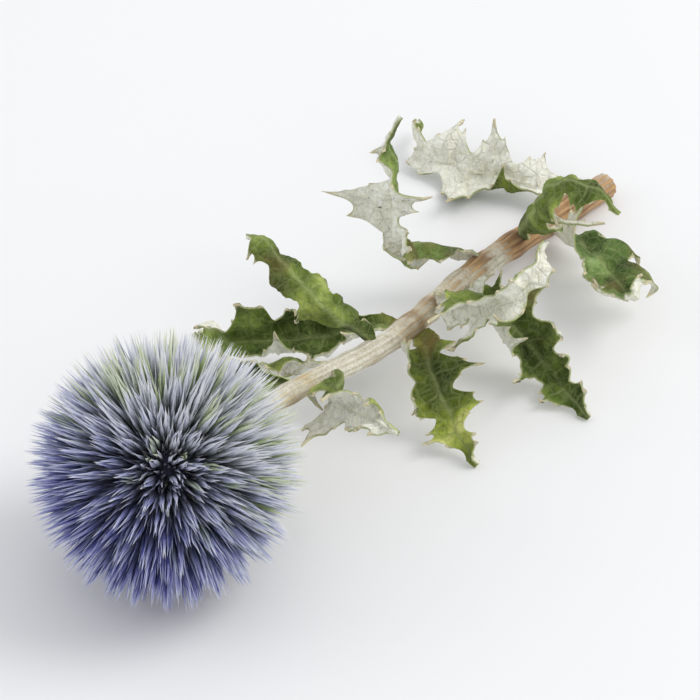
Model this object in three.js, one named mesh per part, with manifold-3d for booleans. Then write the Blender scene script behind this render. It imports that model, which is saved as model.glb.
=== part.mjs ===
// A dried globe thistle flower head, lying on its side as picked: a globe of spiny bracted florets
// on a short ridged stalk, with the stalk's own curled and spiny-lobed leaves.
// Millimetres, +Z up. The stalk runs back along +Y from the globe, and the origin is the middle of
// the footprint, on the surface that the flower lies on.

import * as THREE from "three";
import { mergeVertices } from "three/addons/utils/BufferGeometryUtils.js";
import Module from "manifold-3d";

const wasm = await Module();
wasm.setup();

// ---- Driving dimensions ----

const HEAD_RADIUS = 22; // globe's centre to the tips of its florets
// The centre is lower than the radius, because the lowest tips are pressed flat by the weight.
const HEAD_CENTRE = new THREE.Vector3(-2.4, -44.6, 20.4);
const GROWTH = new THREE.Vector3(-0.06, -0.98, 0.16).normalize(); // up the stalk into the globe
const CORE_RADIUS = 10.5; // the fleshy receptacle with the packed feet of the florets
const FLORET_COUNT = 184;
const BARE_ANGLE = THREE.MathUtils.degToRad(19); // no floret stands this near the stalk
const LENGTH_SPREAD = 0.035; // share by which one floret is shorter than another
const FLORET_FOOT = 8.6; // globe's centre to the sunken foot of a floret
const FLORET_KEELS = 3;
const GROOVE_SHARE = 0.5; // a groove's distance from the floret's middle, as a share of a keel's
const GROOVE_DROP = 1.9; // how far the rim dips between two keels

const COLLAR_COUNT = 9; // short bristle bracts round the top of the stalk
const COLLAR_ANGLE = THREE.MathUtils.degToRad(14.5); // from the stalk, seen from the globe's centre
const COLLAR_RADIUS = 17; // globe's centre to their tips

const STALK_LENGTH = 100; // top of the stalk to the cut
const STALK_TOP_RADIUS = 1.55;
const STALK_CUT_RADIUS = 2.15;
const STALK_RIBS = 6;
const STALK_RIB_DEPTH = 0.12; // share of the radius between a rib's crest and the groove beside it
const STALK_STEPS = 18;
const SEAT_GAP = 0.3; // between the globe and the stalk, and between the stalk and a leaf's foot

const BLADE_THICKNESS = 0.7;
const MIDRIB_STEPS = 72;
const LOBE_SWEEP = 0.35; // how far a lobe leans towards the leaf's tip, as a share of its length
const LOBE_REACHES = [0.36, 0.76, 1, 0.6]; // share of the half-width at notch, shoulder, tip, shoulder
const RIB_SHARE = 0.2; // share of the half-width from the midrib to the first line of corners beside it
const MARGIN_SHARE = 0.6; // and to the second
const KINK_WAVES = 1.5; // times that a midrib bends to and fro
const ROLL_WAVES = 1.3; // times that a margin's roll tightens and slackens
const ROLL_CHANGE = 0.45; // share by which it does
const FOLD_WIDTH = 1.2; // half-width of the rounded fold at the midrib
const BUCKLE_HEIGHT = 0.7; // of the crumples in a blade, either way
const BUCKLE_WAVE = 9; // from one crumple to the next
const RACHIS_WIDTH = 0.95; // least half-width of a blade, at its foot

const SEED = 7;

// Each leaf: at, from the stalk's top along it; around, from straight up towards +X; rise, between the leaf
// and the stalk towards the globe; turn, of the whole blade about its midrib; length and half-width; lobes
// on each side; curl, the midrib's whole bend towards the upper face; kink, its bends to and fro; twist,
// about the midrib; fold, of both halves at the midrib; rolls, of the left and the right margin towards
// the upper face; ripple, of the margins.
const LEAVES = [
  {
    at: 18, around: -75, rise: 46, turn: 30, length: 19, width: 5.5, lobes: 3,
    curl: -90, kink: 50, twist: 60, fold: 25, rolls: [100, -70], ripple: 1.5,
  },
  {
    at: 28, around: 70, rise: 46, turn: -160, length: 26, width: 7.5, lobes: 4,
    curl: 60, kink: -80, twist: -70, fold: -20, rolls: [-130, -70], ripple: 2.6,
  },
  {
    at: 32, around: -112, rise: 44, turn: 120, length: 24, width: 7, lobes: 4,
    curl: 60, kink: 60, twist: -60, fold: -20, rolls: [-110, 80], ripple: 2.4,
  },
  {
    at: 37, around: -25, rise: 52, turn: 20, length: 30, width: 8.5, lobes: 4,
    curl: -130, kink: 70, twist: 80, fold: -20, rolls: [-140,-80], ripple: 2.4,
  },
  {
    at: 46, around: -93.3, rise: 58, turn: 70, length: 36, width: 9.5, lobes: 5,
    curl: -60, kink: -80, twist: -70, fold: 25, rolls: [90, 120], ripple: 3,
  },
  {
    at: 48, around: 109.8, rise: 42, turn: -60, length: 26, width: 7.5, lobes: 4,
    curl: -70, kink: 60, twist: 60, fold: 20, rolls: [110, -80], ripple: 2.4,
  },
  {
    at: 54, around: 44, rise: 51, turn: 150, length: 33, width: 9, lobes: 4,
    curl: 110, kink: 70, twist: 80, fold: -20, rolls: [-80, -130], ripple: 3,
  },
  {
    at: 62, around: 100.6, rise: 67, turn: -80, length: 31.8, width: 9.5, lobes: 5,
    curl: -40, kink: 90, twist: 60, fold: 20, rolls: [130, 80], ripple: 3,
  },
  {
    at: 69, around: -50, rise: 54, turn: 160, length: 34, width: 9.5, lobes: 4,
    curl: 110, kink: -70, twist: -90, fold: -25, rolls: [-140, 100], ripple: 3,
  },
  {
    at: 77, around: 20, rise: 56, turn: -20, length: 36, width: 9, lobes: 5,
    curl: -140, kink: -60, twist: -70, fold: -20, rolls: [-90,-120], ripple: 2.4,
  },
  {
    at: 85, around: 88, rise: 62, turn: -110, length: 33, width: 9, lobes: 4,
    curl: 40, kink: 80, twist: 80, fold: 25, rolls: [110, -140], ripple: 2.8,
  },
  {
    at: 92, around: -80, rise: 70, turn: -120, length: 32.5, width: 8.5, lobes: 4,
    curl: 60, kink: 70, twist: -80, fold: -25, rolls: [-140, 90], ripple: 2.8,
  },
];

// ---- Materials ----

const floretBracts = new THREE.MeshStandardMaterial({ color: 0x6e76a8, roughness: 0.62, metalness: 0 });
const feltedStalk = new THREE.MeshStandardMaterial({ color: 0xb9ab90, roughness: 0.85, metalness: 0 });
const driedLeaf = new THREE.MeshStandardMaterial({ color: 0x5d7548, roughness: 0.8, metalness: 0 });

// ---- Helpers ----

// A seeded stream of numbers from -1 to 1.
function randomStream(seed) {
  let state = seed;
  return () => {
    state = (Math.imul(state, 1664525) + 1013904223) >>> 0;
    return (state / 2 ** 31) - 1;
  };
}

function toSolid(geometry) {
  const bare = geometry.clone();
  bare.deleteAttribute("normal");
  bare.deleteAttribute("uv");
  const merged = mergeVertices(bare, 1e-3);
  return new wasm.Manifold(
    new wasm.Mesh({
      numProp: 3,
      vertProperties: new Float32Array(merged.attributes.position.array),
      triVerts: new Uint32Array(merged.index.array),
    }),
  );
}

function toGeometry(solid) {
  const { vertProperties, triVerts } = solid.getMesh();
  const geometry = new THREE.BufferGeometry();
  geometry.setAttribute("position", new THREE.BufferAttribute(vertProperties, 3));
  geometry.setIndex(new THREE.BufferAttribute(triVerts, 1));
  geometry.computeVertexNormals();
  return geometry;
}

// ---- Globe of florets ----

// One floret's envelope of keeled bracts, standing on +Y from the globe's centre: a slim foot sunk in the
// core, a belly whose three keels spread as points, and the long tip in the middle.
function floretGeometry() {
  const foot = { radius: 0.9, height: FLORET_FOOT };
  const belly = { radius: 1.72, height: 14.6 };
  const rim = { radius: 1.34, height: 18.6 };
  const outline = [
    new THREE.Vector2(0, FLORET_FOOT),
    new THREE.Vector2(foot.radius, foot.height),
    new THREE.Vector2(belly.radius, belly.height),
    new THREE.Vector2(rim.radius, rim.height),
    new THREE.Vector2(0, HEAD_RADIUS),
  ];
  const sides = 2 * FLORET_KEELS;
  const geometry = new THREE.LatheGeometry(outline, sides);
  const place = geometry.attributes.position;
  for (let i = 0; i < place.count; i++) {
    const [x, y, z] = [place.getX(i), place.getY(i), place.getZ(i)];
    const side = Math.round((Math.atan2(x, z) * sides) / (2 * Math.PI));
    const onAxis = Math.hypot(x, z) < foot.radius / 2;
    if (side % 2 === 0 || onAxis || y <= foot.height) continue;
    const drop = y === Math.fround(rim.height) ? GROOVE_DROP : 0;
    place.setXYZ(i, x * GROOVE_SHARE, y - drop, z * GROOVE_SHARE);
  }
  return geometry;
}

// Where the florets point: one spiral from the crown of the globe to the stalk, evenly spaced. The lowest
// one hangs plumb, so that the globe rests on its pressed tip.
function floretDirections() {
  const goldenAngle = Math.PI * (3 - Math.sqrt(5));
  const toGrowth = new THREE.Quaternion().setFromUnitVectors(new THREE.Vector3(0, 1, 0), GROWTH);
  const directions = [];
  for (let i = 0; i < FLORET_COUNT; i++) {
    const rise = 1 - (2 * (i + 0.5)) / FLORET_COUNT;
    const spread = Math.sqrt(1 - rise * rise);
    const turn = i * goldenAngle;
    const direction = new THREE.Vector3(spread * Math.cos(turn), rise, spread * Math.sin(turn));
    direction.applyQuaternion(toGrowth);
    if (Math.PI - direction.angleTo(GROWTH) > BARE_ANGLE) directions.push(direction);
  }
  const lowest = directions.reduce((low, d) => (d.z < low.z ? d : low));
  lowest.set(0, 0, -1);
  return directions;
}

// A short bristle bract that stands back along the stalk, on +Y from the globe's centre before its turn.
function collarBristleGeometry() {
  const outline = [
    new THREE.Vector2(0, FLORET_FOOT),
    new THREE.Vector2(0.45, FLORET_FOOT),
    new THREE.Vector2(0.4, 13),
    new THREE.Vector2(0, COLLAR_RADIUS),
  ];
  return new THREE.LatheGeometry(outline, 3);
}

function collarDirections() {
  const down = GROWTH.clone().negate();
  const aside = new THREE.Vector3(1, 0, 0).cross(down).normalize();
  return Array.from({ length: COLLAR_COUNT }, (_, i) =>
    down
      .clone()
      .applyAxisAngle(aside, COLLAR_ANGLE)
      .applyAxisAngle(down, (2 * Math.PI * i) / COLLAR_COUNT),
  );
}

// A geometry that stands on +Y, turned to point along the direction from the globe's centre.
function standing(geometry, direction, spin, stretch) {
  const up = new THREE.Vector3(0, 1, 0);
  const turn = new THREE.Quaternion().setFromUnitVectors(up, direction);
  turn.multiply(new THREE.Quaternion().setFromAxisAngle(up, spin));
  const placing = new THREE.Matrix4().compose(new THREE.Vector3(), turn, new THREE.Vector3(1, stretch, 1));
  return toSolid(geometry.clone().applyMatrix4(placing));
}

function flowerHead() {
  const random = randomStream(SEED);
  const floret = floretGeometry();
  const bristle = collarBristleGeometry();
  const pieces = [toSolid(new THREE.IcosahedronGeometry(CORE_RADIUS, 2))];
  for (const direction of floretDirections()) {
    const plumb = direction.z === -1;
    const stretch = plumb ? 1 : 1 - LENGTH_SPREAD * Math.abs(random());
    pieces.push(standing(floret, direction, Math.PI * random(), stretch));
  }
  for (const direction of collarDirections()) pieces.push(standing(bristle, direction, 0, 1));
  const surface = new THREE.BoxGeometry(4 * HEAD_RADIUS, 4 * HEAD_RADIUS, HEAD_RADIUS);
  surface.translate(0, 0, -HEAD_CENTRE.z - HEAD_RADIUS / 2);
  const globe = wasm.Manifold.union(pieces).subtract(toSolid(surface));
  const mesh = new THREE.Mesh(toGeometry(globe), floretBracts);
  mesh.name = "flower_head";
  mesh.position.copy(HEAD_CENTRE);
  return mesh;
}

// ---- Stalk ----

// The stalk's middle line, from its top at the globe's core down to the cut, which lies on the surface.
function stalkLine() {
  const top = HEAD_CENTRE.clone().addScaledVector(GROWTH, -(CORE_RADIUS + SEAT_GAP));
  const neck = HEAD_CENTRE.clone().addScaledVector(GROWTH, -28);
  return new THREE.CatmullRomCurve3([
    top,
    neck,
    new THREE.Vector3(1.1, 8, 10),
    new THREE.Vector3(-0.4, 34, 5.6),
    new THREE.Vector3(2.1, 66, STALK_CUT_RADIUS * (1 - STALK_RIB_DEPTH)),
  ]);
}

function stalkRadius(share) {
  return THREE.MathUtils.lerp(STALK_TOP_RADIUS, STALK_CUT_RADIUS, share);
}

function stalk(line) {
  const section = new THREE.Shape();
  for (let i = 0; i < 2 * STALK_RIBS; i++) {
    const reach = i % 2 ? 1 - STALK_RIB_DEPTH : 1;
    const turn = (Math.PI * i) / STALK_RIBS;
    section[i ? "lineTo" : "moveTo"](reach * Math.cos(turn), reach * Math.sin(turn));
  }
  const geometry = new THREE.ExtrudeGeometry(section, { steps: STALK_STEPS, extrudePath: line });
  const middles = line.getSpacedPoints(STALK_STEPS);
  const place = geometry.attributes.position;
  for (let i = 0; i < place.count; i++) {
    const corner = new THREE.Vector3().fromBufferAttribute(place, i);
    const distances = middles.map((middle) => middle.distanceTo(corner));
    const ring = distances.indexOf(Math.min(...distances));
    corner.sub(middles[ring]).multiplyScalar(stalkRadius(ring / STALK_STEPS)).add(middles[ring]);
    place.setXYZ(i, corner.x, corner.y, corner.z);
  }
  const mesh = new THREE.Mesh(geometry, feltedStalk);
  mesh.name = "stalk";
  return mesh;
}

// ---- Leaves ----

// The midrib as a list of stations with their own frames, bending more and more towards the tip.
function midribOf(leaf, line) {
  const share = leaf.at / STALK_LENGTH;
  const grow = line.getTangentAt(share).negate();
  const up = new THREE.Vector3(0, 0, 1).addScaledVector(grow, -grow.z).normalize();
  const right = up.clone().cross(grow);
  const [around, rise, turn] = [leaf.around, leaf.rise, leaf.turn].map(THREE.MathUtils.degToRad);
  const out = up.multiplyScalar(Math.cos(around)).addScaledVector(right, Math.sin(around));
  const [flat, edgeOn] = [Math.abs(Math.cos(turn)), Math.abs(Math.sin(turn))];
  const footReach = (BLADE_THICKNESS / 2) * flat + RACHIS_WIDTH * edgeOn;
  const seat = stalkRadius(share) + SEAT_GAP + footReach * Math.cos(rise);
  const place = line.getPointAt(share).addScaledVector(out, seat);
  const along = grow.clone().multiplyScalar(Math.cos(rise)).addScaledVector(out, Math.sin(rise));
  const face = grow.clone().multiplyScalar(Math.sin(rise)).addScaledVector(out, -Math.cos(rise));
  face.applyAxisAngle(along, turn);
  const stations = [];
  for (let i = 0; i <= MIDRIB_STEPS; i++) {
    const side = face.clone().cross(along);
    stations.push({ place: place.clone(), face: face.clone(), side });
    place.addScaledVector(along, leaf.length / MIDRIB_STEPS);
    const u = i / MIDRIB_STEPS;
    const toAndFro = leaf.kink * Math.cos(2 * Math.PI * KINK_WAVES * u);
    const bend = -THREE.MathUtils.degToRad(2 * leaf.curl * u + toAndFro * KINK_WAVES * 2) / MIDRIB_STEPS;
    along.applyAxisAngle(side, bend);
    face.applyAxisAngle(side, bend);
    face.applyAxisAngle(along, THREE.MathUtils.degToRad(leaf.twist) / MIDRIB_STEPS);
  }
  return stations;
}

// Half-width of the blade without its notches: narrow at the foot, widest before the middle, a long point.
function envelope(leaf, u) {
  return leaf.width * Math.sin(Math.PI * u ** 0.75) ** 0.9;
}

// The upper and lower corner of the blade at u along the midrib and s across it.
function bladeCorner(leaf, stations, u, s) {
  const swept = u + (LOBE_SWEEP * Math.abs(s) * (1 - u)) / leaf.length;
  const { place, face, side } = stations[Math.round(swept * MIDRIB_STEPS)];
  const [hand, outward] = s < 0 ? [0, -1] : [1, 1];
  const change = 1 + ROLL_CHANGE * Math.sin(2 * Math.PI * (ROLL_WAVES * u + 0.4 * hand));
  const rollRadius = leaf.width / (THREE.MathUtils.degToRad(leaf.rolls[hand]) * change);
  const fold = THREE.MathUtils.degToRad(leaf.fold);
  const angle = fold + Math.abs(s) / rollRadius;
  const wave = leaf.ripple * (s / leaf.width) ** 2 * Math.sin(Math.PI * u * leaf.lobes + outward);
  const [run, spread] = [u * leaf.length, s].map((distance) => (2 * Math.PI * distance) / BUCKLE_WAVE);
  const buckle = BUCKLE_HEIGHT * Math.sin(run + leaf.at) * Math.cos(0.7 * spread + run / 2 - leaf.at);
  const across = outward * rollRadius * (Math.sin(angle) - Math.sin(fold));
  const raised = rollRadius * (Math.cos(fold) - Math.cos(angle)) + wave + buckle * Math.min(1, 4 * u);
  const middle = place.clone().addScaledVector(side, across).addScaledVector(face, raised);
  const lean = outward * angle * Math.min(1, Math.abs(s) / FOLD_WIDTH);
  const normal = face.clone().multiplyScalar(Math.cos(lean)).addScaledVector(side, -Math.sin(lean));
  return [0.5, -0.5].map((half) => middle.clone().addScaledVector(normal, half * BLADE_THICKNESS));
}

// A closed blade from rows of [top, bottom] corners, with both faces split into triangles alike.
function closedBlade(rows) {
  const [last, wide] = [rows.length - 1, rows[0].length - 1];
  const index = [];
  const quad = (a, b, c, d) => index.push(a, b, c, a, c, d);
  const corner = (i, j, k) => 2 * (i * (wide + 1) + j) + k;
  for (let i = 0; i < last; i++) {
    for (let j = 0; j < wide; j++) {
      quad(corner(i, j, 0), corner(i + 1, j, 0), corner(i + 1, j + 1, 0), corner(i, j + 1, 0));
      index.push(corner(i, j, 1), corner(i + 1, j + 1, 1), corner(i + 1, j, 1));
      index.push(corner(i, j, 1), corner(i, j + 1, 1), corner(i + 1, j + 1, 1));
    }
    quad(corner(i, 0, 0), corner(i, 0, 1), corner(i + 1, 0, 1), corner(i + 1, 0, 0));
    quad(corner(i, wide, 0), corner(i + 1, wide, 0), corner(i + 1, wide, 1), corner(i, wide, 1));
  }
  for (let j = 0; j < wide; j++) {
    quad(corner(0, j, 0), corner(0, j + 1, 0), corner(0, j + 1, 1), corner(0, j, 1));
    quad(corner(last, j, 0), corner(last, j, 1), corner(last, j + 1, 1), corner(last, j + 1, 0));
  }
  const geometry = new THREE.BufferGeometry();
  const corners = rows.flat(2).flatMap((point) => point.toArray());
  geometry.setAttribute("position", new THREE.Float32BufferAttribute(corners, 3));
  geometry.setIndex(index);
  geometry.computeVertexNormals();
  return geometry;
}

// The lobes of the two margins stand half a lobe out of step.
function leafMesh(leaf, number, line) {
  const stations = midribOf(leaf, line);
  const pitch = LOBE_REACHES.length;
  const columns = pitch * leaf.lobes;
  const rows = [];
  for (let i = 0; i <= columns; i++) {
    const u = i / columns;
    const width = envelope(leaf, u);
    const least = RACHIS_WIDTH * (1 - 0.6 * u);
    const left = Math.max(width * LOBE_REACHES[(i + pitch / 2) % pitch], least);
    const right = Math.max(width * LOBE_REACHES[i % pitch], least);
    const across = [1, MARGIN_SHARE, RIB_SHARE].map((share) => -left * share);
    across.push(0, ...[RIB_SHARE, MARGIN_SHARE, 1].map((share) => right * share));
    rows.push(across.map((s) => bladeCorner(leaf, stations, u, s)));
  }
  const mesh = new THREE.Mesh(closedBlade(rows), driedLeaf);
  mesh.name = `leaf_${number}`;
  return mesh;
}

// ---- The flower ----

const line = stalkLine();
const flower = new THREE.Group();
flower.add(flowerHead());
flower.add(stalk(line));
LEAVES.forEach((leaf, i) => flower.add(leafMesh(leaf, i + 1, line)));

export default flower;
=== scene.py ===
import math
import random

import bpy
import numpy as np
from mathutils import Matrix, Vector, noise


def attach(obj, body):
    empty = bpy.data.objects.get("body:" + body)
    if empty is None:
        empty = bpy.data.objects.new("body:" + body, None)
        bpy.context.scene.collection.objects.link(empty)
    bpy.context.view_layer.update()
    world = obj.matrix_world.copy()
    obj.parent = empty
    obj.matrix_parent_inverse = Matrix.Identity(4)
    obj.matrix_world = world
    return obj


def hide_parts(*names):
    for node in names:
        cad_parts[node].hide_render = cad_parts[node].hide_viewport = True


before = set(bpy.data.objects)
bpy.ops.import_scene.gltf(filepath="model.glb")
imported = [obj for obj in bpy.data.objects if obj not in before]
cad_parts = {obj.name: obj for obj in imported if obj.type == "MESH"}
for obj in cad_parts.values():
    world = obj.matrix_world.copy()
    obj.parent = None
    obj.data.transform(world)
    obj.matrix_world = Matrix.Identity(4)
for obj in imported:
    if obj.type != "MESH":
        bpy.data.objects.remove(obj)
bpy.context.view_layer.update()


# ---- Globe of florets ----
# The flower head is a fleshy ball, all over which stand some 300 narrow florets. Each is still closed in
# three tiers of stiff, keeled, spine-tipped bracts, grey-green at the foot, violet-blue in the middle and
# nearly white at the tip. The lowest tips are pressed flat where the head lies on them.

MM = 0.001
HEAD_CENTRE = Vector((-2.4, -44.6, 20.4)) * MM
GROWTH = Vector((-0.06, -0.98, 0.16)).normalized()  # up the stalk into the globe
RECEPTACLE_RADIUS = 10.2 * MM
FLORET_COUNT = 320
FLORET_KINDS = 6
BARE_ANGLE = math.radians(13)  # no floret stands this near the stalk
FLORET_TILT = math.radians(1.2)  # how far a floret leans out of its place
FLORET_LENGTHS = (0.975, 1)
FADE_AND_LIGHT_SPREAD = 0.12  # by which one floret is more faded, and more painted with light, than the next
PRESSED_HEIGHT = 1.3 * MM  # the tips bend where they come this near to the surface
PRESSED_SLIDE = 0.6  # how far a pressed tip slides outwards, for each part that it is lifted

# Each tier of a floret: its bracts, how green they are, and their rings as (distance from the globe's centre,
# half-width, distance from the floret's middle) in millimetres. The last stretch of each is a fine spine.
BRACT_TIERS = {
    "bristles": {"bracts": 6, "green": 0.9, "rings": [(9.8, 0.07, 1.0), (12.5, 0.06, 1.5), (15.2, 0, 2.1)]},
    "outer": {
        "bracts": 6,
        "green": 0.6,
        "rings": [(9.6, 0.2, 0.45), (12.2, 0.36, 1.05), (14, 0.3, 1.35), (15, 0.09, 1.45), (17, 0, 1.8)],
    },
    "middle": {
        "bracts": 7,
        "green": 0.3,
        "rings": [(9.8, 0.2, 0.4), (13, 0.36, 0.95), (16, 0.38, 1.15), (18, 0.13, 1.15), (20.9, 0, 1.2)],
    },
    "inner": {
        "bracts": 7,
        "green": 0.1,
        "rings": [(9.8, 0.2, 0.3), (14.2, 0.36, 0.6), (17.4, 0.42, 0.7), (19.5, 0.15, 0.5), (22, 0, 0.32)],
    },
}
BRACT_FLATNESS = 0.6
TIER_TURN = 0.35  # by which each tier is turned on the last, as a share of the angle between two bracts
BRACT_SHIFT = 0.18  # by which a bract stands out of its place, as a share of that angle
BRACT_LEAN = math.radians(1.1)  # inwards or outwards
BRACT_ASIDE = math.radians(0.9)  # to either side
BRACT_LENGTHS = (0.97, 1.01)  # shares of the tier's own length
GREEN_SPREAD = 0.22
RIPENESS = (-0.17, 0.13)  # by which a bract's colours lie lower or higher up it than its neighbours'
STREAKED_SHARE = 0.14  # of the bracts, which dry yellow-green on the faded side, where painted light also falls
FRESH_SHARE = 0.08  # of the florets, all of whose bracts do
WHISKER_COUNT = 900  # short hairs on the ball, in the gaps between the florets
WHISKER_FOOT = 9.8 * MM  # from the globe's centre
WHISKER_TIP = 14.5 * MM
WHISKER_WIDTH = 0.07 * MM
WHISKER_BEND = 0.5 * MM
WHISKER_LEAN = 0.12  # radians, to either side


def draw_out(name, sides, rings):
    """A closed spindle drawn out ring by ring; each is (height, half-width, place along +Y)."""
    (foot, width, lean) = rings[0]
    bpy.ops.object.select_all(action="DESELECT")
    bpy.ops.mesh.primitive_circle_add(
        vertices=sides, radius=width, fill_type="NGON", location=(0, lean, foot)
    )
    piece = bpy.context.object
    piece.name = name
    bpy.ops.object.transform_apply(location=True, rotation=True, scale=True)
    bpy.ops.object.mode_set(mode="EDIT")
    bpy.ops.mesh.select_all(action="SELECT")
    for below, ring in zip(rings, rings[1:]):
        rise = (0, ring[2] - below[2], ring[0] - below[0])
        bpy.ops.mesh.extrude_region_move(TRANSFORM_OT_translate={"value": rise})
        if ring[1] > 0:
            share = ring[1] / below[1]
            bpy.ops.transform.resize(value=(share, share, 1), center_override=(0, ring[2], ring[0]))
    bpy.ops.mesh.merge(type="CENTER")
    bpy.ops.mesh.select_all(action="SELECT")
    bpy.ops.mesh.normals_make_consistent(inside=False)
    bpy.ops.object.mode_set(mode="OBJECT")
    return piece


def own_copy(piece, placing):
    """A copy of the piece with its own mesh, placed in that mesh."""
    copy = piece.copy()
    copy.data = piece.data.copy()
    copy.data.transform(placing)
    bpy.context.collection.objects.link(copy)
    return copy


def join(pieces, name):
    bpy.ops.object.select_all(action="DESELECT")
    for piece in pieces:
        piece.select_set(True)
    bpy.context.view_layer.objects.active = pieces[0]
    bpy.ops.object.join()
    joined = bpy.context.object
    joined.name = name
    return joined


def points_of(piece):
    """The piece's points as an array of rows."""
    points = np.empty(len(piece.data.vertices) * 3)
    piece.data.vertices.foreach_get("co", points)
    return points.reshape(-1, 3)


def set_points(piece, points):
    piece.data.vertices.foreach_set("co", np.asarray(points, float).ravel())
    piece.data.update()


def paint(piece, name, values):
    """Keeps one number for each point of the piece, which its material reads by this name."""
    layer = piece.data.attributes.get(name) or piece.data.attributes.new(name, "FLOAT", "POINT")
    layer.data.foreach_set("value", np.broadcast_to(values, len(piece.data.vertices)).astype(np.float32))


def spiral_directions(count, axis):
    """Evenly spaced directions on a spiral from the axis to the far side."""
    golden_angle = math.pi * (3 - math.sqrt(5))
    to_axis = Vector((0, 1, 0)).rotation_difference(axis)
    for i in range(count):
        rise = 1 - 2 * (i + 0.5) / count
        spread = math.sqrt(1 - rise * rise)
        turn = i * golden_angle
        yield to_axis @ Vector((spread * math.cos(turn), rise, spread * math.sin(turn)))


def remove(pieces):
    for piece in pieces:
        bpy.data.objects.remove(piece)


draw = random.Random(11)

bracts = {}
for tier, shape in BRACT_TIERS.items():
    rings = [(height * MM, width * MM, lean * MM) for height, width, lean in shape["rings"]]
    bract = draw_out("bract", 3, rings)
    points = points_of(bract)
    (foot, top) = (rings[0][0], rings[-1][0])
    paint(bract, "along", (points[:, 2] - foot) / (top - foot))
    leans = np.interp(points[:, 2], [r[0] for r in rings], [r[2] for r in rings])
    points[:, 1] = leans + (points[:, 1] - leans) * BRACT_FLATNESS
    set_points(bract, points)
    bracts[tier] = bract

florets = []
for kind in range(FLORET_KINDS):
    envelope = []
    for number, (tier, shape) in enumerate(BRACT_TIERS.items()):
        for i in range(shape["bracts"]):
            place = i + TIER_TURN * number + draw.uniform(-BRACT_SHIFT, BRACT_SHIFT)
            spin = Matrix.Rotation(2 * math.pi * place / shape["bracts"], 4, "Z")
            lean = Matrix.Rotation(draw.gauss(0, BRACT_LEAN), 4, "X")
            aside = Matrix.Rotation(draw.gauss(0, BRACT_ASIDE), 4, "Y")
            stretch = Matrix.Scale(draw.uniform(*BRACT_LENGTHS), 4, (0, 0, 1))
            piece = own_copy(bracts[tier], spin @ lean @ aside @ stretch)
            paint(piece, "green", shape["green"] + draw.uniform(-GREEN_SPREAD, GREEN_SPREAD))
            paint(piece, "streak", float(draw.random() < STREAKED_SHARE))
            paint(piece, "ripe", draw.uniform(*RIPENESS))
            envelope.append(piece)
    florets.append(join(envelope, "floret"))
remove(bracts.values())

bpy.ops.object.select_all(action="DESELECT")
bpy.ops.mesh.primitive_ico_sphere_add(subdivisions=4, radius=RECEPTACLE_RADIUS, location=HEAD_CENTRE)
receptacle = bpy.context.object
bpy.ops.object.transform_apply(location=True, rotation=True, scale=True)
paint(receptacle, "along", 0)
paint(receptacle, "green", 0.1)
paint(receptacle, "faded_and_lit", 0.1)

PALE_AND_LIT_SIDE = Vector((0.1, 0.72, 0.68)).normalized()  # the florets on this side are faded and greener, and also painted paler as painted light from above and behind
FADED_AND_LIT_BETWEEN = 0.53  # how faded, and how much painted light, a floret has that stands square to that side
FADED_AND_LIT_CHANGE = 0.78  # from there to the pale side, and as much less to the other
FADED_AND_LIT_CURVE = 1.25


def fading_and_light(direction):
    """How faded the head is on this side, from 0 to 1, together with the painted light that falls on its
    upper back.
    """
    return min(1, max(0, FADED_AND_LIT_BETWEEN + FADED_AND_LIT_CHANGE * direction.dot(PALE_AND_LIT_SIDE))) ** FADED_AND_LIT_CURVE


def towards(direction):
    return Vector((0, 0, 1)).rotation_difference(direction).to_matrix().to_4x4()


globe = [receptacle]
for direction in spiral_directions(FLORET_COUNT, GROWTH):
    if math.pi - direction.angle(GROWTH) < BARE_ANGLE:
        continue
    turn = towards(direction)
    (lean, aside) = (Matrix.Rotation(draw.gauss(0, FLORET_TILT), 4, axis) for axis in "XY")
    spin = Matrix.Rotation(draw.uniform(0, 2 * math.pi), 4, "Z")
    stretch = Matrix.Scale(draw.uniform(*FLORET_LENGTHS), 4, (0, 0, 1))
    placing = Matrix.Translation(HEAD_CENTRE) @ turn @ lean @ aside @ spin @ stretch
    floret = own_copy(draw.choice(florets), placing)
    paint(floret, "faded_and_lit", fading_and_light(direction) + draw.uniform(-FADE_AND_LIGHT_SPREAD, FADE_AND_LIGHT_SPREAD))
    paint(floret, "fresh", float(draw.random() < FRESH_SHARE))
    globe.append(floret)
remove(florets)

whisker = draw_out("whisker", 3, [(WHISKER_FOOT, WHISKER_WIDTH, 0), (WHISKER_TIP, 0, WHISKER_BEND)])
# The hairs take the dark navy from low on the bracts: partly their own colour, partly painted shade in the
# gaps between the florets.
paint(whisker, "along", 0.45)
paint(whisker, "green", 0.3)
for direction in spiral_directions(WHISKER_COUNT, GROWTH):
    lean = Matrix.Rotation(draw.uniform(-WHISKER_LEAN, WHISKER_LEAN), 4, "X")
    spin = Matrix.Rotation(draw.uniform(0, 2 * math.pi), 4, "Z")
    hair = own_copy(whisker, Matrix.Translation(HEAD_CENTRE) @ towards(direction) @ lean @ spin)
    paint(hair, "faded_and_lit", fading_and_light(direction))
    globe.append(hair)
remove([whisker])
globe = join(globe, "globe_florets")

points = points_of(globe)
low = points[:, 2] < PRESSED_HEIGHT
pressed = PRESSED_HEIGHT * np.exp(points[low, 2] / PRESSED_HEIGHT - 1)
outward = points[low, :2] - np.array(HEAD_CENTRE[:2])
outward /= np.maximum(np.linalg.norm(outward, axis=1), MM)[:, None]
points[low, :2] += outward * (PRESSED_SLIDE * (pressed - points[low, 2]))[:, None]
points[low, 2] = pressed
set_points(globe, points)


def add_node(tree, kind, inputs=(), **settings):
    """A shader node with its settings, and each input linked to a socket or set to a value."""
    node = tree.nodes.new(kind)
    for name, value in settings.items():
        setattr(node, name, value)
    for name, value in dict(inputs).items():
        if isinstance(value, bpy.types.NodeSocket):
            tree.links.new(value, node.inputs[name])
        else:
            node.inputs[name].default_value = value
    return node


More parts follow.
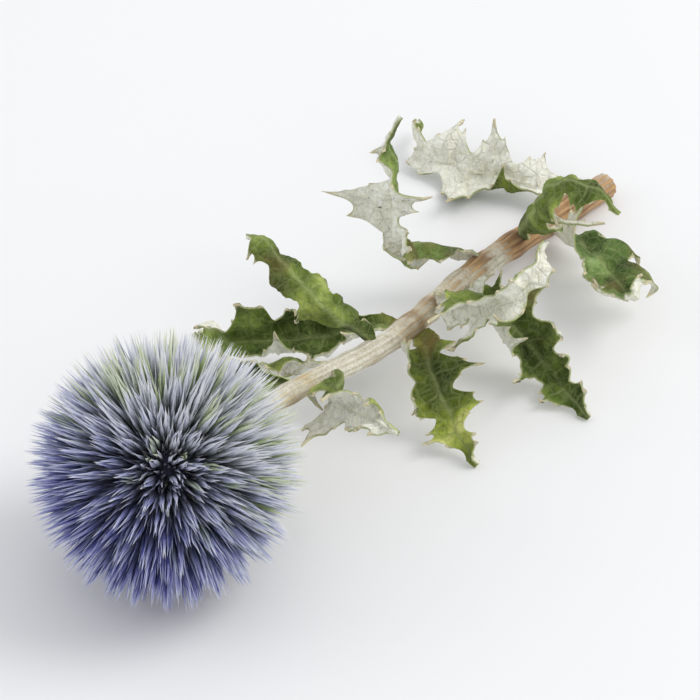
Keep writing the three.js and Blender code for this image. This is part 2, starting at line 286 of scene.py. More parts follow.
def attribute(tree, name):
    return add_node(tree, "ShaderNodeAttribute", attribute_name=name).outputs["Fac"]


def ramp(tree, factor, stops):
    """A run of colours along the factor; each stop is (place, colour)."""
    node = add_node(tree, "ShaderNodeValToRGB", {"Fac": factor})
    elements = node.color_ramp.elements
    while len(elements) < len(stops):
        elements.new(0.5)
    for element, (place, colour) in zip(elements, stops):
        element.position = place
        element.color = (*colour, 1)
    return node.outputs["Color"]


def mix(tree, factor, one, other, blend_type="MIX"):
    node = add_node(tree, "ShaderNodeMix", data_type="RGBA", blend_type=blend_type)
    for place, value in ((0, factor), (6, one), (7, other)):
        if isinstance(value, bpy.types.NodeSocket):
            tree.links.new(value, node.inputs[place])
        else:
            node.inputs[place].default_value = value
    return node.outputs[2]


def math_node(tree, operation, one, other=0.0, clamp=False):
    inputs = {0: one, 1: other}
    return add_node(tree, "ShaderNodeMath", inputs, operation=operation, use_clamp=clamp).outputs[0]


def new_group(name, inputs, outputs):
    """A node group with its input and output nodes; inputs and outputs map each name to its socket type."""
    group = bpy.data.node_groups.new(name, "ShaderNodeTree")
    for side, sockets in (("INPUT", inputs), ("OUTPUT", outputs)):
        for socket, kind in sockets.items():
            group.interface.new_socket(socket, in_out=side, socket_type=f"NodeSocket{kind}")
    return group, group.nodes.new("NodeGroupInput").outputs, group.nodes.new("NodeGroupOutput").inputs


# Noise from 0 to 1 that is fixed to the piece; Scale is the number of its grains to a metre.
(grain, given, put_out) = new_group(
    "grain", {"Scale": "Float", "Detail": "Float", "Roughness": "Float"}, {"Grain": "Float"}
)
inputs = {"Vector": add_node(grain, "ShaderNodeTexCoord").outputs["Object"]}
inputs |= {name: given[name] for name in ("Scale", "Detail", "Roughness")}
grain.links.new(add_node(grain, "ShaderNodeTexNoise", inputs).outputs["Fac"], put_out["Grain"])


def speckle(tree, scale, detail=3, roughness=0.55):
    inputs = {"Scale": scale, "Detail": detail, "Roughness": roughness}
    return add_node(tree, "ShaderNodeGroup", node_tree=grain, inputs=inputs).outputs["Grain"]


def new_material(name, roughness, sheen=0.0):
    """A material with its node tree and its shader, whose colour and normal are linked afterwards."""
    material = bpy.data.materials.new(name)
    material.use_nodes = True
    shader = material.node_tree.nodes["Principled BSDF"]
    shader.inputs["Roughness"].default_value = roughness
    shader.inputs["Sheen Weight"].default_value = sheen
    return material, material.node_tree, shader


(bract_skin, tree, shader) = new_material("bract_skin", roughness=0.48, sheen=0.1)
(along, faded_and_lit) = (attribute(tree, "along"), attribute(tree, "faded_and_lit"))
wobble = math_node(tree, "MULTIPLY", math_node(tree, "SUBTRACT", speckle(tree, 900), 0.5), 0.18)
# Partly painted light: on the faded side, which faces the light from above and behind, the pale tips reach
# further down each bract.
faded_and_lit_shift = math_node(tree, "MULTIPLY", faded_and_lit, 0.12)
place_on_bract = math_node(tree, "ADD", math_node(tree, "ADD", along, wobble), faded_and_lit_shift)
place_on_bract = math_node(tree, "ADD", place_on_bract, attribute(tree, "ripe"))
# The dark navy stretch low on each bract, which lies deep between the florets, is partly the bract's own
# colour and partly painted shade.
blue = ramp(
    tree,
    place_on_bract,
    [
        (0.0, (0.09, 0.11, 0.24)),
        (0.3, (0.035, 0.045, 0.155)),
        (0.54, (0.034, 0.04, 0.16)),
        (0.7, (0.11, 0.12, 0.39)),
        (0.83, (0.4, 0.425, 0.74)),
        (1.0, (0.84, 0.86, 0.94)),
    ],
)
green = ramp(
    tree,
    place_on_bract,
    [
        (0.0, (0.08, 0.09, 0.12)),
        (0.3, (0.15, 0.17, 0.18)),
        (0.52, (0.35, 0.39, 0.38)),
        (0.72, (0.78, 0.81, 0.83)),
        (0.86, (0.95, 0.96, 0.97)),
        (1.0, (0.94, 0.95, 0.94)),
    ],
)
# Paler grey-green where a tier is greener and where the florets are faded; on that side this paleness is
# partly painted light.
greenness_and_light = math_node(tree, "MULTIPLY", attribute(tree, "green"), 0.4)
greenness_and_light = math_node(tree, "ADD", greenness_and_light, math_node(tree, "MULTIPLY", faded_and_lit, 0.75), clamp=True)
pale_lit_or_blue = mix(tree, greenness_and_light, blue, green)
fresh = math_node(tree, "MULTIPLY", attribute(tree, "fresh"), 0.65)
streak = math_node(tree, "MAXIMUM", attribute(tree, "streak"), fresh)
streak = math_node(tree, "MULTIPLY", streak, math_node(tree, "MULTIPLY", faded_and_lit, 1.3), clamp=True)
yellow_green = [(0.3, (0.1, 0.14, 0.025)), (0.65, (0.3, 0.4, 0.11)), (0.95, (0.74, 0.8, 0.55))]
yellow_green = ramp(tree, place_on_bract, yellow_green)
skin = mix(tree, math_node(tree, "MULTIPLY", streak, 0.85), pale_lit_or_blue, yellow_green)
tree.links.new(skin, shader.inputs["Base Color"])

globe.data.materials.clear()
globe.data.materials.append(bract_skin)
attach(globe, "root")
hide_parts("flower_head")


# ---- Stalk ----
# The flower's own stalk: a stiff, straw-grey stem with shallow ribs, felted with fine white hairs that
# have worn off in places. It thickens a little at each leaf and is cut off square, with a pale pith.

STALK_LENGTH = 100 * MM
STALK_TOP_RADIUS = 1.55 * MM
STALK_CUT_RADIUS = 2.15 * MM
RING_SPACING = 2 * MM  # least distance between the rings of the plain stalk that this one follows
STALK_SIDES = 60
STALK_CUTS = 160
STALK_RIBS = 11
FINE_RIBS = 19
RIB_HEIGHT = 0.045  # this and the next three are shares of the stalk's radius
ROUGHNESS_HEIGHT = 0.03
SWELLING_HEIGHT = 0.12
BARE_RADIUS = 0.95  # between the ribs
SWELLING_REACH = 1.8  # millimetres up and down from a leaf
PITH_DEPTH = 0.25 * MM  # of the shrunken pith below the rim of the cut
CUT_INSETS = (0.12, 0.3, 0.3)  # widths of the rings on a cut end, from its rim
SURFACE_GAP = 0.02 * MM  # left under the stalk, and under a leaf, where it touches the surface
LEAF_PLACES = [18, 28, 32, 37, 46, 48, 54, 62, 69, 77, 85, 92]  # millimetres down from the stalk's top

corners = np.unique(np.round([v.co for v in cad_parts["stalk"].data.vertices], 6), axis=0)
corners = corners[np.argsort(corners[:, 1])]
ring_starts = np.nonzero(np.diff(corners[:, 1]) > RING_SPACING)[0] + 1
middles = np.array([ring.mean(axis=0) for ring in np.split(corners, ring_starts)])
reaches = np.concatenate([[0], np.cumsum(np.linalg.norm(np.diff(middles, axis=0), axis=1))])
reaches /= reaches[-1]


def stalk_middle(share):
    """The point on the stalk's middle line at this share of its length, from its top."""
    slopes = np.gradient(middles, reaches, axis=0)
    i = max(min(np.searchsorted(reaches, share, side="right") - 1, len(reaches) - 2), 0)
    span = reaches[i + 1] - reaches[i]
    t = (share - reaches[i]) / span
    start = (2 * t**3 - 3 * t**2 + 1) * middles[i] + (t**3 - 2 * t**2 + t) * span * slopes[i]
    end = (3 * t**2 - 2 * t**3) * middles[i + 1] + (t**3 - t**2) * span * slopes[i + 1]
    return Vector(start + end)


def stalk_radius(share):
    return STALK_TOP_RADIUS + (STALK_CUT_RADIUS - STALK_TOP_RADIUS) * share


def stalk_frame(share):
    """The directions up the stalk, away from the surface and to the right at this share of its length."""
    step = 0.004
    grow = (stalk_middle(share - step) - stalk_middle(share + step)).normalized()
    up = (Vector((0, 0, 1)) - grow * grow.z).normalized()
    return grow, up, up.cross(grow)


bpy.ops.object.select_all(action="DESELECT")
bpy.ops.mesh.primitive_cylinder_add(vertices=STALK_SIDES, radius=1, depth=1, end_fill_type="NGON")
stalk = bpy.context.object
stalk.name = "felted_stalk"
bpy.ops.object.mode_set(mode="EDIT")
bpy.ops.mesh.select_mode(type="FACE")
bpy.ops.mesh.select_all(action="DESELECT")
bpy.ops.object.mode_set(mode="OBJECT")
for face in stalk.data.polygons:
    face.select = abs(face.normal.z) > 0.5
bpy.ops.object.mode_set(mode="EDIT")
for width in CUT_INSETS:
    bpy.ops.mesh.inset(thickness=width)
bpy.ops.mesh.select_mode(type="EDGE")
bpy.ops.mesh.select_all(action="DESELECT")
bpy.ops.object.mode_set(mode="OBJECT")
for edge in stalk.data.edges:
    (one, other) = (stalk.data.vertices[i].co for i in edge.vertices)
    edge.select = abs(one.z - other.z) > 0.5
bpy.ops.object.mode_set(mode="EDIT")
bpy.ops.mesh.subdivide(number_cuts=STALK_CUTS)
bpy.ops.object.mode_set(mode="OBJECT")

points = points_of(stalk)
(bent, rib_heights, inwards, nodes) = ([], [], [], [])
for x, y, z in points:
    share = 0.5 - z
    around = math.atan2(y, x)
    (grow, up, right) = stalk_frame(share)
    place = stalk_middle(share)
    inward = math.hypot(x, y)
    wander = 0.5 * noise.noise(Vector((0, 0, share * 4)))
    ribs = math.cos(STALK_RIBS * (around + wander)) + 0.5 * math.cos(FINE_RIBS * around - 2 * wander + 1)
    down = share * STALK_LENGTH / MM
    swelling = max(math.exp(-(((down - at) / SWELLING_REACH) ** 2)) for at in LEAF_PLACES)
    rough = noise.noise(Vector((2.5 * math.cos(around), 2.5 * math.sin(around), share * 30)))
    relief = RIB_HEIGHT * ribs + ROUGHNESS_HEIGHT * rough + SWELLING_HEIGHT * swelling
    radius = stalk_radius(share) * (BARE_RADIUS + relief)
    out = up * math.cos(around) + right * math.sin(around)
    dent = PITH_DEPTH * max(0, 1 - inward) ** 0.5 if z < -0.499 else 0
    bent.append(place + out * radius * inward + grow * dent)
    rib_heights.append(0.5 + 0.33 * ribs)
    inwards.append(inward)
    nodes.append(swelling)
bent = np.array(bent)
bent[:, 2] = np.maximum(bent[:, 2], SURFACE_GAP)
set_points(stalk, bent)
paint(stalk, "node", nodes)
paint(stalk, "rib", rib_heights)
paint(stalk, "inward", inwards)
paint(stalk, "down", 0.5 - points[:, 2])
bpy.ops.object.select_all(action="DESELECT")
stalk.select_set(True)
bpy.context.view_layer.objects.active = stalk
bpy.ops.object.mode_set(mode="EDIT")
bpy.ops.mesh.select_all(action="SELECT")
bpy.ops.mesh.normals_make_consistent(inside=False)
bpy.ops.object.mode_set(mode="OBJECT")
bpy.ops.object.shade_smooth_by_angle(angle=math.radians(50))

# White felt of matted hairs over a bare skin, worn off in patches. Worn is the share of it that is gone.
(felt, given, put_out) = new_group(
    "felt",
    {"Shade": "Color", "Light": "Color", "Bare": "Color", "Patches": "Float", "Worn": "Float"},
    {"Color": "Color", "Height": "Float"},
)
place = add_node(felt, "ShaderNodeTexCoord").outputs["Object"]
threads = add_node(
    felt, "ShaderNodeTexNoise", {"Vector": place, "Scale": 1300, "Detail": 4, "Distortion": 1.6}
).outputs["Fac"]
threads = ramp(felt, threads, [(0.3, (0, 0, 0)), (0.68, (1, 1, 1))])
clumps = add_node(felt, "ShaderNodeTexNoise", {"Vector": place, "Scale": 420, "Detail": 2}).outputs["Fac"]
patches = add_node(
    felt, "ShaderNodeTexNoise", {"Vector": place, "Scale": given["Patches"], "Detail": 5}
).outputs["Fac"]
gone = math_node(felt, "ADD", patches, math_node(felt, "SUBTRACT", given["Worn"], 0.5))
gone = ramp(felt, gone, [(0.46, (0, 0, 0)), (0.6, (1, 1, 1))])
coat = mix(felt, threads, given["Shade"], given["Light"])
felt.links.new(mix(felt, gone, coat, given["Bare"]), put_out["Color"])
pile = math_node(felt, "ADD", math_node(felt, "MULTIPLY", threads, 0.45), clumps)
left = math_node(felt, "SUBTRACT", 1.3, gone)
felt.links.new(math_node(felt, "MULTIPLY", pile, left), put_out["Height"])

(stalk_skin, tree, shader) = new_material("stalk_skin", roughness=0.8, sheen=0.2)
down = attribute(tree, "down")
rib = math_node(tree, "ADD", attribute(tree, "rib"), math_node(tree, "SUBTRACT", speckle(tree, 500), 0.5))
# Partly painted light: the grooves between the ribs are painted darker as shade and the crests paler as
# highlight, over the stalk's own straw and orange-brown streaks.
groove_tone_and_shade = ramp(tree, down, [(0.1, (0.34, 0.26, 0.12)), (0.75, (0.23, 0.115, 0.042))])
crest_tone_and_highlight = ramp(tree, down, [(0.1, (0.8, 0.69, 0.42)), (0.75, (0.6, 0.37, 0.165))])
streaks_and_rib_light = mix(tree, rib, groove_tone_and_shade, crest_tone_and_highlight)
node_brown = math_node(tree, "MULTIPLY", attribute(tree, "node"), speckle(tree, 260))
streaks_and_rib_light = mix(tree, node_brown, streaks_and_rib_light, (0.13, 0.06, 0.03, 1))
worn = math_node(tree, "ADD", math_node(tree, "MULTIPLY", down, 0.26), 0.31)
worn = math_node(tree, "ADD", worn, math_node(tree, "MULTIPLY", rib, 0.16))
covering = add_node(
    tree,
    "ShaderNodeGroup",
    node_tree=felt,
    inputs={
        # The felt, too, is painted darker in the grooves as painted shade, so that the ribs show through it.
        "Shade": mix(tree, rib, (0.4, 0.35, 0.23, 1), (0.68, 0.65, 0.52, 1)),
        "Light": mix(tree, rib, (0.66, 0.6, 0.46, 1), (0.9, 0.88, 0.79, 1)),
        "Bare": streaks_and_rib_light,
        "Patches": 110,
        "Worn": worn,
    },
)
cut_tones = [
    (0.0, (0.78, 0.74, 0.64)),
    (0.6, (0.66, 0.58, 0.42)),
    (0.72, (0.35, 0.26, 0.15)),
    (0.9, (0.5, 0.42, 0.3)),
]
cut = ramp(tree, attribute(tree, "inward"), cut_tones)
is_cut = ramp(tree, attribute(tree, "inward"), [(0.9, (1, 1, 1)), (0.97, (0, 0, 0))])
tree.links.new(mix(tree, is_cut, covering.outputs["Color"], cut), shader.inputs["Base Color"])
bump = add_node(
    tree, "ShaderNodeBump", {"Height": covering.outputs["Height"], "Distance": 0.12 * MM, "Strength": 0.6}
)
tree.links.new(bump.outputs["Normal"], shader.inputs["Normal"])

stalk.data.materials.clear()
stalk.data.materials.append(stalk_skin)
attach(stalk, "root")
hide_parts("stalk")


# ---- Leaves ----
# The stalk's own leaves, dried: each is one thin blade with spiny lobes, dark green above and white-felted
# below, with a raised midrib. Drying has bent the midribs, rolled the margins and crumpled the blades.

SEAT_GAP = 0.3 * MM  # between the stalk and the blade at the leaf's foot
LEAF_FOOT = 1.6 * MM  # how far the leaf runs back into the stalk
BLADE_THICKNESS = 0.34 * MM
SEATED_THICKNESS = 0.7 * MM  # of the leaf's foot, which sets how far out its middle starts
MIDRIB_STEPS = 72
KINK_WAVES = 1.5  # times that a midrib bends to and fro
ROLL_WAVES = 1.3  # times that a margin's roll tightens and slackens
ROLL_CHANGE = 0.45  # share by which it does
FOLD_WIDTH = 1.2  # half-width of the rounded fold at the midrib, in millimetres
BUCKLE_HEIGHT = 0.7  # of the wide crumples in a blade, in millimetres
BUCKLE_WAVE = 9  # from one of them to the next
CRUMPLE_HEIGHT = 1.2  # of the uneven crumples
CREASE_HEIGHT = 0.7
FINE_CRUMPLE_HEIGHT = 0.35
CRUMPLES = 0.12  # to a millimetre
CREASES = 2.2  # to a crumple
FINE_CRUMPLES = 6
MIDRIB_WIDTH = 0.62  # half-width of the midrib at the leaf's foot, in millimetres
MIDRIB_TAPER = 0.4  # by which it is narrower at the tip
SIDE_VEIN_WIDTH = 0.2  # half-width of a side vein, in millimetres
SIDE_VEIN_REACH = 7  # millimetres from the midrib over which a side vein fades
VEIN_WANDER = 0.12  # share of the distance between two side veins by which one wanders
VEIN_DIP = 0.22  # millimetres that a vein is sunk in the upper side
VEIN_RELIEF = 0.45 * MM  # and that it stands out of the under side
LOBE_SWEEP = 0.35  # how far a lobe leans towards the leaf's tip, as a share of its length
LOBE_REACHES = [0.36, 0.76, 1, 0.6]  # share of the half-width at notch, shoulder, tip, shoulder
SPINE_LENGTHS = [0, 0.4, 1, 0.35]  # millimetres, at the same four places
VEIN_STRENGTHS = [0, 0.5, 0.9, 0.45]
RACHIS_WIDTH = 0.95  # least half-width of a blade at its foot, in millimetres
LOBE_HOLLOW = 0.6  # how far a margin is hollowed between two of its places
LEAST_REACH = 0.35
ROWS_PER_COLUMN = 12
LEAF_ACROSS = 28

# Millimetres for at, length, width (a half-width) and ripple; degrees for all that turns or bends.
LEAVES = [
    {"at": 18, "around": -75, "rise": 46, "turn": 30, "length": 19, "width": 5.5, "lobes": 3,
     "curl": -90, "kink": 50, "twist": 60, "fold": 25, "rolls": [100, -70], "ripple": 1.5},
    {"at": 28, "around": 70, "rise": 46, "turn": -160, "length": 26, "width": 7.5, "lobes": 4,
     "curl": 60, "kink": -80, "twist": -70, "fold": -20, "rolls": [-130, -70], "ripple": 2.6},
    {"at": 32, "around": -112, "rise": 44, "turn": 120, "length": 24, "width": 7, "lobes": 4,
     "curl": 60, "kink": 60, "twist": -60, "fold": -20, "rolls": [-110, 80], "ripple": 2.4},
    {"at": 37, "around": -25, "rise": 52, "turn": 20, "length": 30, "width": 8.5, "lobes": 4,
     "curl": -130, "kink": 70, "twist": 80, "fold": -20, "rolls": [-140, -80], "ripple": 2.4},
    {"at": 46, "around": -93.3, "rise": 58, "turn": 70, "length": 36, "width": 9.5, "lobes": 5,
     "curl": -60, "kink": -80, "twist": -70, "fold": 25, "rolls": [90, 120], "ripple": 3},
    {"at": 48, "around": 109.8, "rise": 42, "turn": -60, "length": 26, "width": 7.5, "lobes": 4,
     "curl": -70, "kink": 60, "twist": 60, "fold": 20, "rolls": [110, -80], "ripple": 2.4},
    {"at": 54, "around": 44, "rise": 51, "turn": 150, "length": 33, "width": 9, "lobes": 4,
     "curl": 110, "kink": 70, "twist": 80, "fold": -20, "rolls": [-80, -130], "ripple": 3},
    {"at": 62, "around": 100.6, "rise": 67, "turn": -80, "length": 31.8, "width": 9.5, "lobes": 5,
     "curl": -40, "kink": 90, "twist": 60, "fold": 20, "rolls": [130, 80], "ripple": 3},
    {"at": 69, "around": -50, "rise": 54, "turn": 160, "length": 34, "width": 9.5, "lobes": 4,
     "curl": 110, "kink": -70, "twist": -90, "fold": -25, "rolls": [-140, 100], "ripple": 3},
    {"at": 77, "around": 20, "rise": 56, "turn": -20, "length": 36, "width": 9, "lobes": 5,
     "curl": -140, "kink": -60, "twist": -70, "fold": -20, "rolls": [-90, -120], "ripple": 2.4},
    {"at": 85, "around": 88, "rise": 62, "turn": -110, "length": 33, "width": 9, "lobes": 4,
     "curl": 40, "kink": 80, "twist": 80, "fold": 25, "rolls": [110, -140], "ripple": 2.8},
    {"at": 92, "around": -80, "rise": 70, "turn": -120, "length": 32.5, "width": 8.5, "lobes": 4,
     "curl": 60, "kink": 70, "twist": -80, "fold": -25, "rolls": [-140, 90], "ripple": 2.8},
]


def midrib_of(leaf):
    """The midrib's stations as (place, along, face, side), bending more and more towards the tip."""
    share = leaf["at"] * MM / STALK_LENGTH
    (grow, up, right) = stalk_frame(share)
    (around, rise, turn) = (math.radians(leaf[name]) for name in ("around", "rise", "turn"))
    out = up * math.cos(around) + right * math.sin(around)
    foot_reach = SEATED_THICKNESS / 2 * abs(math.cos(turn)) + RACHIS_WIDTH * MM * abs(math.sin(turn))
    place = stalk_middle(share) + out * (stalk_radius(share) + SEAT_GAP + foot_reach * math.cos(rise))
    along = grow * math.cos(rise) + out * math.sin(rise)
    face = grow * math.sin(rise) - out * math.cos(rise)
    face = Matrix.Rotation(turn, 3, along) @ face
    stations = []
    for i in range(MIDRIB_STEPS + 1):
        side = face.cross(along)
        stations.append((place.copy(), along.copy(), face.copy(), side))
        place = place + along * (leaf["length"] * MM / MIDRIB_STEPS)
        u = i / MIDRIB_STEPS
        to_and_fro = leaf["kink"] * math.cos(2 * math.pi * KINK_WAVES * u)
        bend = -math.radians(2 * leaf["curl"] * u + to_and_fro * KINK_WAVES * 2) / MIDRIB_STEPS
        bending = Matrix.Rotation(bend, 3, side)
        along = bending @ along
        face = Matrix.Rotation(math.radians(leaf["twist"]) / MIDRIB_STEPS, 3, along) @ (bending @ face)
    return stations


def station_at(stations, share):
    """The midrib between two stations, or straight on before its foot and past its tip."""
    place = min(max(share, 0), 1) * MIDRIB_STEPS
    i = min(int(place), MIDRIB_STEPS - 1)
    (one, other) = (stations[i], stations[i + 1])
    (middle, along, face, side) = (a.lerp(b, place - i) for a, b in zip(one, other))
    return middle, along.normalized(), face.normalized(), side.normalized()


def lobe_reach(leaf, u, offset):
    """Half-width of one margin in millimetres, and the length of the spine that stands on it there."""
    pitch = len(LOBE_REACHES)
    columns = pitch * leaf["lobes"]
    place = min(max(u, 0), 1) * columns
    (i, t) = (int(place), place - int(place))

    def corner(column):
        envelope = leaf["width"] * math.sin(math.pi * min(column / columns, 1) ** 0.75) ** 0.9
        least = RACHIS_WIDTH * (1 - 0.6 * column / columns)
        return max(envelope * LOBE_REACHES[(column + offset) % pitch], least)

    (here, there) = (corner(i), corner(min(i + 1, columns)))
    reach = here + (there - here) * t - LOBE_HOLLOW * t * (1 - t) * min(here, there)
    nearest = round(place)
    fade = min(1, 3 * (1 - abs(2 * place / columns - 1)))
    spine = SPINE_LENGTHS[(nearest + offset) % pitch] * max(0, 1 - abs(place - nearest) / 0.2) ** 1.6
    return max(reach, LEAST_REACH), spine * fade


def blade_point(leaf, stations, u, s):
    """The middle of the blade at u along the midrib and s millimetres across it, and the way it faces."""
    swept = u + LOBE_SWEEP * abs(s) * (1 - u) / leaf["length"]
    (place, along, face, side) = station_at(stations, swept)
    place = place + along * (min(u, 0) * leaf["length"] * MM)
    (hand, outward) = (0, -1) if s < 0 else (1, 1)
    change = 1 + ROLL_CHANGE * math.sin(2 * math.pi * (ROLL_WAVES * u + 0.4 * hand))
    roll_radius = leaf["width"] / (math.radians(leaf["rolls"][hand]) * change)
    fold = math.radians(leaf["fold"])
    angle = fold + abs(s) / roll_radius
    wave = leaf["ripple"] * (s / leaf["width"]) ** 2 * math.sin(math.pi * u * leaf["lobes"] + outward)
    (run, spread) = (2 * math.pi * distance / BUCKLE_WAVE for distance in (u * leaf["length"], s))
    buckle = BUCKLE_HEIGHT * math.sin(run + leaf["at"]) * math.cos(0.7 * spread + run / 2 - leaf["at"])
    across = outward * roll_radius * (math.sin(angle) - math.sin(fold))
    raised = roll_radius * (math.cos(fold) - math.cos(angle)) + wave + buckle * min(1, max(0, 4 * u))
    lean = outward * angle * min(1, abs(s) / FOLD_WIDTH)
    return place + side * (across * MM) + face * (raised * MM), face * math.cos(lean) - side * math.sin(lean)


def vein_at(leaf, u, s, offset):
    """From 0 on the blade to 1 on the midrib; the side veins run from it to the lobes' corners."""
    columns = len(LOBE_REACHES) * leaf["lobes"]
    midrib = math.exp(-((s / (MIDRIB_WIDTH - MIDRIB_TAPER * u)) ** 2))
    place = u * columns + VEIN_WANDER * math.sin(1.3 * s)
    nearest = round(place)
    strength = VEIN_STRENGTHS[(nearest + offset) % len(VEIN_STRENGTHS)]
    width = SIDE_VEIN_WIDTH * columns / leaf["length"]
    side_vein = strength * math.exp(-(((place - nearest) / width) ** 2)) * math.exp(-abs(s) / SIDE_VEIN_REACH)
    return max(midrib, side_vein)


(leaf_skin, tree, shader) = new_material("leaf_skin", roughness=0.75, sheen=0.04)
shader.inputs["Specular IOR Level"].default_value = 0.22
(vein, margin, under) = (attribute(tree, name) for name in ("vein", "margin", "under"))
# Random blotches of the leaves' own greens; the darkest ones are painted shade, as seen deep in a tangle of
# leaves.
blotches_and_shade = ramp(
    tree,
    speckle(tree, 95, 6, 0.65),
    [
        (0.33, (0.028, 0.048, 0.004)),
        (0.45, (0.078, 0.115, 0.014)),
        (0.54, (0.17, 0.23, 0.035)),
        (0.62, (0.35, 0.43, 0.085)),
        (0.73, (0.57, 0.6, 0.25)),
    ],
)
cells = add_node(
    tree,
    "ShaderNodeTexVoronoi",
    {"Vector": add_node(tree, "ShaderNodeTexCoord").outputs["Object"], "Scale": 620},
    feature="DISTANCE_TO_EDGE",
).outputs["Distance"]
net = ramp(tree, cells, [(0.0, (1, 1, 1)), (0.14, (0, 0, 0))])
all_veins = math_node(tree, "MAXIMUM", vein, math_node(tree, "MULTIPLY", net, 0.42))
tint = mix(tree, attribute(tree, "cool"), (1.2, 1.12, 0.8, 1), (0.78, 0.93, 1.5, 1))
tinted = mix(tree, 1, blotches_and_shade, tint, blend_type="MULTIPLY")
upper = mix(tree, math_node(tree, "MULTIPLY", all_veins, 0.6), tinted, (0.37, 0.43, 0.18, 1))
lower = add_node(
    tree,
    "ShaderNodeGroup",
    node_tree=felt,
    inputs={
        "Shade": (0.79, 0.79, 0.63, 1),
        "Light": (0.95, 0.95, 0.88, 1),
        "Bare": (0.5, 0.54, 0.34, 1),
        "Patches": 150,
        "Worn": 0.34,
    },
)
felted = mix(tree, math_node(tree, "MULTIPLY", vein, 0.35), lower.outputs["Color"], (0.7, 0.68, 0.48, 1))
both = mix(tree, under, upper, felted)
withered = ramp(tree, speckle(tree, 60, 4), [(0.57, (0, 0, 0)), (0.7, (1, 1, 1))])
strength = math_node(tree, "SUBTRACT", 0.75, math_node(tree, "MULTIPLY", under, 0.5))
withered = math_node(tree, "MULTIPLY", withered, strength)
both = mix(tree, withered, both, (0.2, 0.12, 0.05, 1))
edged = mix(tree, math_node(tree, "MULTIPLY", margin, 0.55), both, (0.38, 0.42, 0.14, 1))
straw = mix(tree, attribute(tree, "spine"), edged, (0.68, 0.62, 0.42, 1))
tree.links.new(straw, shader.inputs["Base Color"])
puckers = math_node(tree, "MULTIPLY", net, -1.2)
puckers = math_node(tree, "ADD", puckers, math_node(tree, "MULTIPLY", speckle(tree, 420), 2.5))
pile = math_node(tree, "MULTIPLY", lower.outputs["Height"], under)
height = math_node(tree, "ADD", puckers, pile)
bump = add_node(tree, "ShaderNodeBump", {"Height": height, "Distance": 0.2 * MM, "Strength": 0.7})
tree.links.new(bump.outputs["Normal"], shader.inputs["Normal"])

for number, leaf in enumerate(LEAVES, 1):
    stations = midrib_of(leaf)
    columns = len(LOBE_REACHES) * leaf["lobes"]
    bpy.ops.object.select_all(action="DESELECT")
    bpy.ops.mesh.primitive_grid_add(
        x_subdivisions=columns * ROWS_PER_COLUMN, y_subdivisions=LEAF_ACROSS, size=1
    )
    blade = bpy.context.object
    blade.name = f"dried_leaf_{number}"
    foot = -LEAF_FOOT / (leaf["length"] * MM)
    (placed, veins, margins, spines) = ([], [], [], [])
    for x, y, _ in points_of(blade):
        u = x + 0.5
        offset = 0 if y > 0 else 2
        (reach, spine) = lobe_reach(leaf, u, offset)
        across = math.sin(math.pi * y)
        s = across * (reach + spine)
        run = foot + (1 - foot) * u if u < 0.06 else u
        (point, face) = blade_point(leaf, stations, run, s)
        spot = Vector((u * leaf["length"] * CRUMPLES, s * CRUMPLES, 7 * number))
        crease = 0.5 - abs(noise.noise(spot * CREASES)) * 2
        crumple = CRUMPLE_HEIGHT * noise.noise(spot) + CREASE_HEIGHT * crease
        crumple += FINE_CRUMPLE_HEIGHT * noise.noise(spot * FINE_CRUMPLES)
        vein = vein_at(leaf, u, s, offset)
        veins.append(vein)
        margins.append(abs(across) ** 40)
        spines.append(min(1, max(0, abs(s) - reach + 0.15) / 0.3) if spine > 0.1 else 0)
        height = crumple * min(1, abs(s) / 3 + 0.25) - VEIN_DIP * vein
        placed.append(point + face * (height * MM * min(1, 6 * u)))
    placed = np.array(placed)
    placed[:, 2] = np.maximum(placed[:, 2], SURFACE_GAP + BLADE_THICKNESS)
    set_points(blade, placed)
    paint(blade, "vein", veins)
    paint(blade, "margin", margins)
    paint(blade, "spine", spines)
    paint(blade, "cool", draw.random())
    count = len(blade.data.vertices)
    solidify = blade.modifiers.new("thickness", "SOLIDIFY")
    solidify.thickness = BLADE_THICKNESS
    solidify.offset = -1
    bpy.ops.object.modifier_apply(modifier=solidify.name)
    paint(blade, "under", (np.arange(len(blade.data.vertices)) >= count).astype(float))
    points = points_of(blade)
    downwards = points[count : 2 * count] - points[:count]
    downwards /= np.linalg.norm(downwards, axis=1)[:, None]
    points[count : 2 * count] += downwards * (np.array(veins) * VEIN_RELIEF)[:, None]
    points[:, 2] = np.maximum(points[:, 2], SURFACE_GAP)
    set_points(blade, points)
    bpy.ops.object.shade_smooth_by_angle(angle=math.radians(60))
    blade.data.materials.clear()
    blade.data.materials.append(leaf_skin)
    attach(blade, "root")
    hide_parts(f"leaf_{number}")


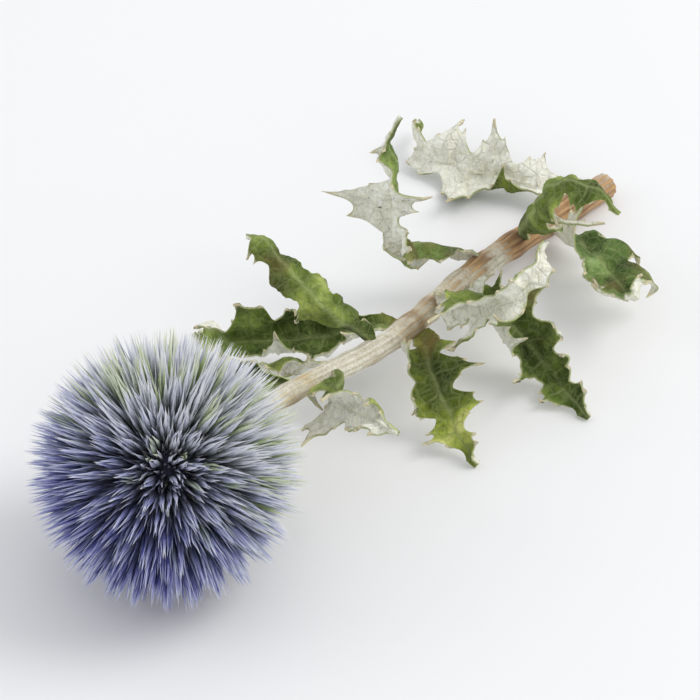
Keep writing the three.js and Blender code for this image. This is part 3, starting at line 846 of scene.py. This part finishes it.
# ---- Floor, light and camera ----
# The head lies on a pale, plain floor under a bright, soft sky, with a large soft light from the back
# right and a weaker one from the front left. The camera looks down along the stalk from the globe's end.

bpy.ops.object.select_all(action="DESELECT")
bpy.ops.mesh.primitive_plane_add(size=6)
floor = bpy.context.object
floor.name = "floor"
(floor_skin, tree, shader) = new_material("floor_skin", roughness=0.9)
tone = mix(tree, speckle(tree, 12), (0.865, 0.87, 0.875, 1), (0.9, 0.903, 0.905, 1))
tree.links.new(tone, shader.inputs["Base Color"])
floor.data.materials.append(floor_skin)

world = bpy.data.worlds.new("soft_sky")
world.use_nodes = True
world.node_tree.nodes["Background"].inputs["Color"].default_value = (0.965, 0.975, 1, 1)
world.node_tree.nodes["Background"].inputs["Strength"].default_value = 0.79
bpy.context.scene.world = world


def soft_light(name, place, size, energy, colour):
    data = bpy.data.lights.new(name, "AREA")
    data.shape = "DISK"
    data.size = size
    data.energy = energy
    data.color = colour
    light = bpy.data.objects.new(name, data)
    light.location = place
    light.rotation_euler = (-Vector(place)).to_track_quat("-Z", "Y").to_euler()
    bpy.context.collection.objects.link(light)


soft_light("window", (0.55, 0.45, 0.8), 0.65, 4.3, (1, 0.98, 0.95))
soft_light("fill", (-0.7, -0.5, 0.5), 0.7, 1.1, (0.92, 0.95, 1))

CAMERA_AZIMUTH = math.radians(36)
CAMERA_ELEVATION = math.radians(42)
CAMERA_DISTANCE = 1.2
CAMERA_TARGET = Vector((0, -1, 14)) * MM
camera_data = bpy.data.cameras.new("camera")
camera_data.sensor_width = 36
camera_data.lens = 400
camera = bpy.data.objects.new("camera", camera_data)
flat = math.cos(CAMERA_ELEVATION)
to_camera = Vector(
    (flat * math.sin(CAMERA_AZIMUTH), -flat * math.cos(CAMERA_AZIMUTH), math.sin(CAMERA_ELEVATION))
)
camera.location = CAMERA_TARGET + to_camera * CAMERA_DISTANCE
camera.rotation_euler = to_camera.to_track_quat("Z", "Y").to_euler()
bpy.context.collection.objects.link(camera)
bpy.context.scene.camera = camera
bpy.context.scene.view_settings.view_transform = "Standard"
